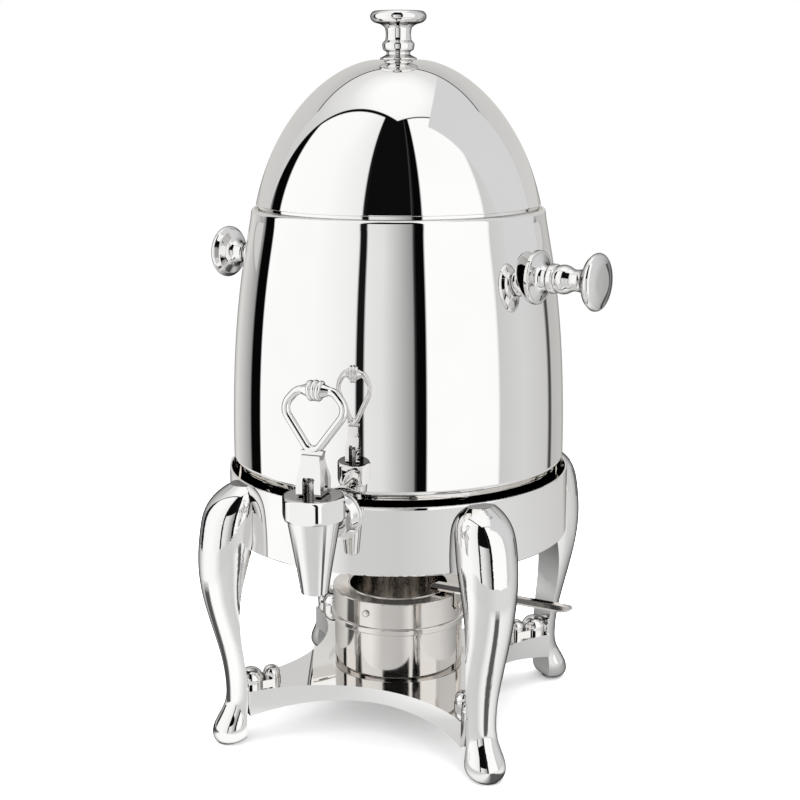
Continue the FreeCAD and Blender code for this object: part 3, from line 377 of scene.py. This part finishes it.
def rubber(name, bright, dull, rough):
    """Matt rubber, finely uneven."""
    made, tree, shader = new_material(name)
    blacks = coloured(tree, noise(tree, 60.0), [(DARKER, dull), (LIGHTER, bright)])
    tree.links.new(blacks, shader.inputs["Base Color"])
    tree.links.new(ranged(tree, noise(tree, 700.0), DARKER, LIGHTER, *rough), shader.inputs["Roughness"])
    bump = tree.nodes.new("ShaderNodeBump")
    bump.inputs["Distance"].default_value = 0.00005
    tree.links.new(noise(tree, 1500.0), bump.inputs["Height"])
    tree.links.new(bump.outputs["Normal"], shader.inputs["Normal"])
    return made


MATERIALS = {
    "polished_steel": metal("polished_steel", *STEEL, wave=0.00001),
    "polished_casting": metal("polished_casting", *CASTING, wave=0.00002, edge_tint=0.05),
    "burner_steel": metal("burner_steel", *BURNER, wave=0.00004, grain_scale=500, grain=0.000004),
    "fastener_steel": metal("fastener_steel", *FASTENER, wave=0.00003, grain_scale=700, grain=0.000005),
    "black_rubber": rubber("black_rubber", *RUBBER),
}
slot_of = {part["node"]: part["material_slot"] for part in frame["record"]["subparts"]}


def dress(obj, slot):
    obj.data.materials.clear()
    obj.data.materials.append(MATERIALS[slot])


for node, obj in frame["nodes"].items():
    dress(obj, slot_of[node])
    obj.data.set_sharp_from_angle(angle=SHARP)


def stands_for(obj, body, *nodes):
    """Puts a piece in the place of CAD nodes, with their material, on their body."""
    dress(obj, slot_of[nodes[0]])
    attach(obj, body)
    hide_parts(*nodes)
    return obj


# Vessel and lid

vessel = turned("vessel_shell", [
    (FLANGE_RADIUS, VESSEL_FLOOR), (NECK_RADIUS, VESSEL_FLOOR, 8), (NECK_RADIUS, THROAT, 5),
    (VESSEL_RADIUS, THROAT + 6, 5), flank_poles(), (MOUTH_RADIUS + 2.6, VESSEL_TOP, 2.6),
    (MOUTH_RADIUS, VESSEL_TOP, 1.2), (MOUTH_RADIUS, LEDGE, 0.4), (LEDGE_RADIUS, LEDGE, 0.4),
    (LEDGE_RADIUS, LEDGE - VESSEL_WALL, 0.4), (MOUTH_OUTSIDE - VESSEL_WALL, LEDGE - VESSEL_WALL),
    flank_poles(VESSEL_WALL)[::-1], (VESSEL_RADIUS - VESSEL_WALL, THROAT + 6.4, 4),
    (NECK_RADIUS - VESSEL_WALL, THROAT + 0.4, 4),
    (NECK_RADIUS - VESSEL_WALL, VESSEL_FLOOR + VESSEL_WALL, 6.8),
    (FLANGE_RADIUS, VESSEL_FLOOR + VESSEL_WALL), (FLANGE_RADIUS, VESSEL_FLOOR)])
stands_for(vessel, "urn", "urn_body")

dome = turned("lid_shell", [
    (KNOB_STUD, LID_TOP - VESSEL_WALL), dome_poles(VESSEL_WALL)[::-1],
    (LID_RADIUS - VESSEL_WALL, LID_EDGE, 0.5), (LID_RADIUS, LID_EDGE, 0.5), dome_poles(),
    (KNOB_STUD, LID_TOP), (KNOB_STUD, LID_TOP - VESSEL_WALL)])
stands_for(dome, "lid", "lid_dome")

knob_top = LID_TOP + KNOB_HEIGHT
knob_rim = KNOB_TOP_RADIUS
knob = turned("lid_knob_turned", [
    (0, LID_TOP - 11), (KNOB_STUD, LID_TOP - 11, 0.4), (KNOB_STUD, LID_TOP), (KNOB_FLANGE, LID_TOP, 0.4),
    (KNOB_FLANGE, LID_TOP + 1.0, 0.4), (6.4, LID_TOP + 4.4, 1.5), (11.0, LID_TOP + 6.6, 2.2),
    (11.6, LID_TOP + 11.0, 2.2), (9.4, LID_TOP + 13.2, 1.2), (8.0, LID_TOP + 18.5, 16),
    (10.2, knob_top - 10.6, 7), (knob_rim - 3.4, knob_top - 8.6, 4),
    (knob_rim + 0.6, knob_top - 4.6, 3.6), (knob_rim - 3.2, knob_top - 0.7, 3.4), (0, knob_top)])
stands_for(knob, "lid", "lid_knob")

length = SIDE_REACH - SIDE_FOOT
side_knob = [
    (0, -16), (SIDE_STUD, -16, 0.5), (SIDE_STUD, -0.6), (ROSETTE_RADIUS, -0.6, 0.3),
    (ROSETTE_RADIUS, 2.4, 1.1), (ROSETTE_RADIUS - 2.2, 2.4, 1), (9.4, 4.8, 5), (8.6, 10.2, 1.5),
    (10.3, 11.2, 1.2), (10.3, 15.0, 1.2), (8.9, 16.0, 0.3), (9.3, 16.5, 0.3), (10.9, 21.5, 9),
    (7.2, 28.5, 8), (8.2, length - 12.5, 8), (SIDE_DISC_RADIUS - 3, length - 8.6, 3),
    (SIDE_DISC_RADIUS, length - 5.2, 2.6), (SIDE_DISC_RADIUS - 0.6, length - 2.0, 3),
    (SIDE_DISC_RADIUS * 0.6, length - 0.2, 30), (0, length)]
for side, turn in SIDE_TURNS.items():
    piece = turned("side_knob_turned_" + side, side_knob, laid_out(turn, SIDE_FOOT, SIDE_Z), KNOB_STEPS)
    stands_for(piece, "urn", "side_knob_" + side)

# Burner

wall = BURNER_WALL
can = BURNER_RADIUS - wall - CAN_LOOSE
burner = turned("burner_can_turned", [
    (0, BURNER_FLOOR), (can, BURNER_FLOOR, 1.2), (can, BURNER_TOP - wall), (can - wall, BURNER_TOP - wall),
    (can - wall, BURNER_FLOOR + wall, 0.6), (0, BURNER_FLOOR + wall)])
stands_for(burner, "burner", "burner_can")
cap_low = BURNER_TOP - CAP_DEPTH
bead = BURNER_RADIUS + BEAD_OUT
cap = turned("burner_cap_turned", [
    (BURNER_RADIUS - wall, cap_low), (bead, cap_low, 0.9), (bead, cap_low + BEAD_HEIGHT, 1.2),
    (BURNER_RADIUS, cap_low + BEAD_HEIGHT, 0.4), (BURNER_RADIUS, BURNER_TOP, 1.0),
    (BURNER_MOUTH + 1.2, BURNER_TOP, 0.3), (BURNER_MOUTH + 1.0, BURNER_TOP + 0.7, 0.5),
    (BURNER_MOUTH, BURNER_TOP + 0.7, 0.4), (BURNER_MOUTH, BURNER_TOP - 2.2, 0.3),
    (BURNER_MOUTH + 0.9, BURNER_TOP - 2.2, 0.3), (BURNER_MOUTH + 0.9, BURNER_TOP - wall),
    (BURNER_RADIUS - wall, BURNER_TOP - wall), (BURNER_RADIUS - wall, cap_low)])
stands_for(cap, "burner_top", "burner_cap")

# Escutcheon behind the tap

rim = ESCUTCHEON_RADIUS
deep = ESCUTCHEON_DEPTH
bore = SHANK_RADIUS + 0.1
cover = turned("tap_cover_turned", [
    (bore, deep - 1), (rim - 6, deep - 1, 3), (rim - 2.2, 1.6, 2), (rim - 2.2, 0, 0.4), (rim, 0, 1.0),
    (rim, 2.4, 1.1), (rim - 1.6, 2.6, 1.2), (rim - 5.3, deep, 4), (bore, deep), (bore, deep - 1)],
    laid_out(0, RING_RADIUS + ESCUTCHEON_GAP, SHANK_Z), COVER_STEPS)
stands_for(cover, "urn", "tap_escutcheon")

# Camera, in metres and degrees

CAMERA_TURN = 18.75         # from the tap's side towards +X
CAMERA_DISTANCE = 1.0822
CAMERA_HEIGHT = 0.48246
CAMERA_PITCH = 12.445
CAMERA_YAW = -0.061
FOCAL_LENGTH = 66.98
view_turn = math.radians(CAMERA_TURN)
toward = Vector((math.sin(view_turn), -math.cos(view_turn), 0))
right = Vector((math.cos(view_turn), math.sin(view_turn), 0))
lens = bpy.data.cameras.new("camera")
lens.lens = FOCAL_LENGTH
lens.sensor_width = 36.0
lens.dof.use_dof = False
camera = bpy.data.objects.new("camera", lens)
camera.location = toward * CAMERA_DISTANCE + Vector((0, 0, CAMERA_HEIGHT))
camera.rotation_euler = (math.radians(90 - CAMERA_PITCH), 0, view_turn + math.radians(CAMERA_YAW))
bpy.context.scene.collection.objects.link(camera)
bpy.context.scene.camera = camera

# Floor

FLOOR_RADIUS = 0.78         # small, so that the urn's flank reflects the panels down to the ring
FLOOR_SIDES = 120
spokes = [math.radians(360 / FLOOR_SIDES * k) for k in range(FLOOR_SIDES)]
floor_edge = [(math.cos(a) * FLOOR_RADIUS, math.sin(a) * FLOOR_RADIUS, 0) for a in spokes]
floor = mesh_object("floor", floor_edge, [list(range(FLOOR_SIDES))])
# Painted glow of the floor, an emission that only the polish sees, by degrees to the right of the camera's
# side: broadly, and near the urn with painted shade and dark painted stripes
PAINTED_FLOOR_GLOW_STRENGTH = 1.07
PAINTED_FLOOR_GLOW_BROAD = [(-180, 0.06), (-155, 0.14), (-143, 0.66), (-110, 0.78), (-85, 1.0), (-48, 0.96), (-28, 0.62),
               (0, 0.60), (28, 0.69), (70, 0.70), (110, 0.62), (140, 0.58), (155, 0.14), (180, 0.06)]
PAINTED_FLOOR_SHADE_NEAR = [(-180, 0.06), (-150, 0.30), (-96, 0.80), (-91, 0.10), (-74, 0.10), (-68, 1.0), (-44, 1.0),
              (-26, 0.66), (5, 0.60), (16, 0.88), (22, 0.88), (25, 0.10), (34, 0.10), (38, 0.88), (70, 0.78),
              (110, 0.40), (150, 0.25), (180, 0.06)]
NEAR_FROM = 0.42            # metres from the axis where the painted shade near the urn begins to show
NEAR_FULL = 0.34            # and where it shows in full
PALE = ((0.95, 0.95, 0.95), (0.93, 0.93, 0.93))

floor_material, tree, shader = new_material("pale_floor")
blotches = coloured(tree, noise(tree, 3.0), [(DARKER, PALE[1]), (LIGHTER, PALE[0])])
tree.links.new(blotches, shader.inputs["Base Color"])
shader.inputs["Roughness"].default_value = 0.9
shader.inputs["Specular IOR Level"].default_value = 0.0
spot = tree.nodes.new("ShaderNodeTexCoord").outputs["Object"]
faced = tree.nodes.new("ShaderNodeMapping")
faced.inputs["Rotation"].default_value = (0, 0, math.pi / 2 - view_turn)
tree.links.new(spot, faced.inputs["Vector"])
round_floor = tree.nodes.new("ShaderNodeTexGradient")
round_floor.gradient_type = "RADIAL"
tree.links.new(faced.outputs["Vector"], round_floor.inputs["Vector"])
# Painted light broadly, and painted shade with dark stripes near the urn
painted_glow_broad = coloured(tree, round_floor.outputs["Fac"], round_stops(PAINTED_FLOOR_GLOW_BROAD, PAINTED_FLOOR_GLOW_STRENGTH))
painted_shade_stripes = coloured(tree, round_floor.outputs["Fac"], round_stops(PAINTED_FLOOR_SHADE_NEAR, PAINTED_FLOOR_GLOW_STRENGTH))
far_off = tree.nodes.new("ShaderNodeVectorMath")
far_off.operation = "LENGTH"
tree.links.new(spot, far_off.inputs[0])
near_shade_mask = ranged(tree, far_off.outputs["Value"], NEAR_FROM, NEAR_FULL, 0.0, 1.0)
# Glossy rays see an emission of this painted light and shade instead of the lit floor
painted_floor_glow = tree.nodes.new("ShaderNodeEmission")
tree.links.new(mixed(tree, painted_glow_broad, painted_shade_stripes, near_shade_mask), painted_floor_glow.inputs["Color"])
rays = tree.nodes.new("ShaderNodeLightPath")
either = for_rays(tree, rays, "Is Glossy Ray", shader, painted_floor_glow)
tree.links.new(either.outputs[0], tree.nodes["Material Output"].inputs["Surface"])
floor.data.materials.append(floor_material)

# Lights, which the polish doesn't show

OVER_POWER = 62
FRONT_POWER = 14


def softbox(name, place, aim, size, power):
    """Area light of power in watts at place, aimed at a point."""
    light = bpy.data.lights.new(name, "AREA")
    light.shape = "RECTANGLE"
    light.size, light.size_y = size
    light.energy = power
    obj = bpy.data.objects.new(name, light)
    obj.location = place
    obj.rotation_euler = (Vector(aim) - Vector(place)).to_track_quat("-Z", "Y").to_euler()
    obj.visible_glossy = False
    obj.visible_camera = False
    bpy.context.scene.collection.objects.link(obj)


softbox("light_over", (0, 0, 3.0), (0, 0, 0), (3.4, 3.4), OVER_POWER)
softbox("light_front", tuple(toward * 2.4 + Vector((0, 0, 1.6))), (0, 0, 0.2), (2.4, 1.6), FRONT_POWER)

# Studio seen in the polish: white panels at the sides, dark gaps between them, a ceiling

GLOW = 1.06                 # strength of the studio in the polish
FILL = 1.9                  # strength of the light that falls on matt surfaces
SOFT = 0.006                # half the width of a soft edge
DARK = (0.004, 0.004, 0.004)

# Brightness round the horizon, by degrees to the right of the camera's side
AROUND = [
    (-180, 0.20), (-166, 0.28), (-158, 0.60), (-150, 0.70), (-134, 0.50), (-122.6, 0.30), (-122, 0.002),
    (-109.4, 0.002), (-108.9, 1.0), (-62, 0.98), (-31, 0.87), (-29, 0.82), (-28.6, 0.008), (-23, 0.008),
    (-22.6, 0.80), (-11, 0.76), (0, 0.52), (10.8, 0.28), (11.3, 0.002), (18.3, 0.002), (18.7, 1.0),
    (71.5, 1.0), (72.5, 0.60), (95, 0.67), (124, 0.58), (127, 0.05), (130, 0.05), (132, 0.50),
    (156, 0.54), (166, 0.28), (180, 0.20)]
# Over the panel in the middle everything is dark from this height up, from one gap to the other
WEDGE_FOOT = 17             # degrees above the horizon
WEDGE = [(-180, 0.0), (-26.5, 0.0), (-26, 1.0), (11, 1.0), (11.5, 0.0), (180, 0.0)]

# Edges of the areas overhead: each is a plane through the object, with its slopes to the right of the
# camera's side, towards the camera and upward. An area lies on the positive side of all its planes.
HORIZON = (0, 0, 1)
GAP = ((0.73, -1, 0.43), (-0.37, -1, 0.385))
CEILING = ((0.73, -1, 0.379), (-0.37, -1, 0.367))
CEILING_RIGHT = ((1, 0, -0.41), (0, -1, 0.367))
BEHIND = ((0.78, -1, 0), (-0.78, -1, 0))
REAR_LINE = (0, -1, -0.82)
REAR_WALL = (0, -1, -0.87)
# Tones by height: 0 is the horizon and 1 is overhead
CEILING_TONES = [(0.0, 0.60), (0.6, 0.66), (0.85, 0.78), (0.97, 1.0)]
REAR_TONES = [(0.0, 0.62), (0.5, 0.60), (0.8, 0.5)]
CEILING_RIGHT_TONE = (0.66, 0.66, 0.67)
REAR_LINE_TONE = (0.05, 0.05, 0.05)

world = bpy.data.worlds.new("studio")
bpy.context.scene.world = world
world.use_nodes = True
tree = world.node_tree
tree.nodes.clear()
link = tree.links.new


def dot(vector, along):
    node = tree.nodes.new("ShaderNodeVectorMath")
    node.operation = "DOT_PRODUCT"
    node.inputs[1].default_value = along
    link(vector, node.inputs[0])
    return node.outputs["Value"]


def step(value):
    """1 where value is above 0, with a soft edge."""
    return ranged(tree, value, -SOFT, SOFT, 0.0, 1.0)


def times(a, b):
    node = tree.nodes.new("ShaderNodeMath")
    node.operation = "MULTIPLY"
    link(a, node.inputs[0])
    link(b, node.inputs[1])
    return node.outputs[0]


def grey(stops):
    return [(at, (value, value, value)) for at, value in stops]


sky = tree.nodes.new("ShaderNodeTexCoord").outputs["Generated"]
ahead, across, up = dot(sky, toward), dot(sky, right), dot(sky, (0, 0, 1))
flat = tree.nodes.new("ShaderNodeCombineXYZ")
link(ahead, flat.inputs[0])
link(across, flat.inputs[1])
compass = tree.nodes.new("ShaderNodeTexGradient")
compass.gradient_type = "RADIAL"
link(flat.outputs[0], compass.inputs[0])

sides = coloured(tree, compass.outputs["Fac"], round_stops(AROUND))
wedge = coloured(tree, compass.outputs["Fac"], round_stops(WEDGE))
high = tree.nodes.new("ShaderNodeMath")
high.operation = "SUBTRACT"
high.inputs[1].default_value = math.sin(math.radians(WEDGE_FOOT))
link(up, high.inputs[0])
colour = mixed(tree, sides, DARK, times(wedge, step(high.outputs[0])))


def edge(x, y, z):
    """1 on the positive side of a plane with slopes x to the right, y towards the camera and z upward."""
    return step(dot(sky, right * x + toward * y + Vector((0, 0, z))))


def area(first, second):
    """1 on the positive side of two planes and above the horizon."""
    return times(times(edge(*first), edge(*second)), edge(*HORIZON))


colour = mixed(tree, colour, DARK, area(*GAP))
colour = mixed(tree, colour, coloured(tree, up, grey(CEILING_TONES)), area(*CEILING))
colour = mixed(tree, colour, CEILING_RIGHT_TONE, area(*CEILING_RIGHT))
behind = area(*BEHIND)
colour = mixed(tree, colour, REAR_LINE_TONE, times(edge(*REAR_LINE), behind))
colour = mixed(tree, colour, coloured(tree, up, grey(REAR_TONES)), times(edge(*REAR_WALL), behind))


def background(strength):
    node = tree.nodes.new("ShaderNodeBackground")
    node.inputs["Color"].default_value = (1, 1, 1, 1)
    node.inputs["Strength"].default_value = strength
    return node


# The camera sees plain white, matt surfaces an even fill, and the polish the studio
glow = background(GLOW)
link(colour, glow.inputs["Color"])
rays = tree.nodes.new("ShaderNodeLightPath")
lighting = for_rays(tree, rays, "Is Diffuse Ray", glow, background(FILL))
out = tree.nodes.new("ShaderNodeOutputWorld")
link(for_rays(tree, rays, "Is Camera Ray", lighting, background(1.0)).outputs[0], out.inputs[0])

view = bpy.context.scene.view_settings
view.view_transform = "Standard"
view.look = "None"
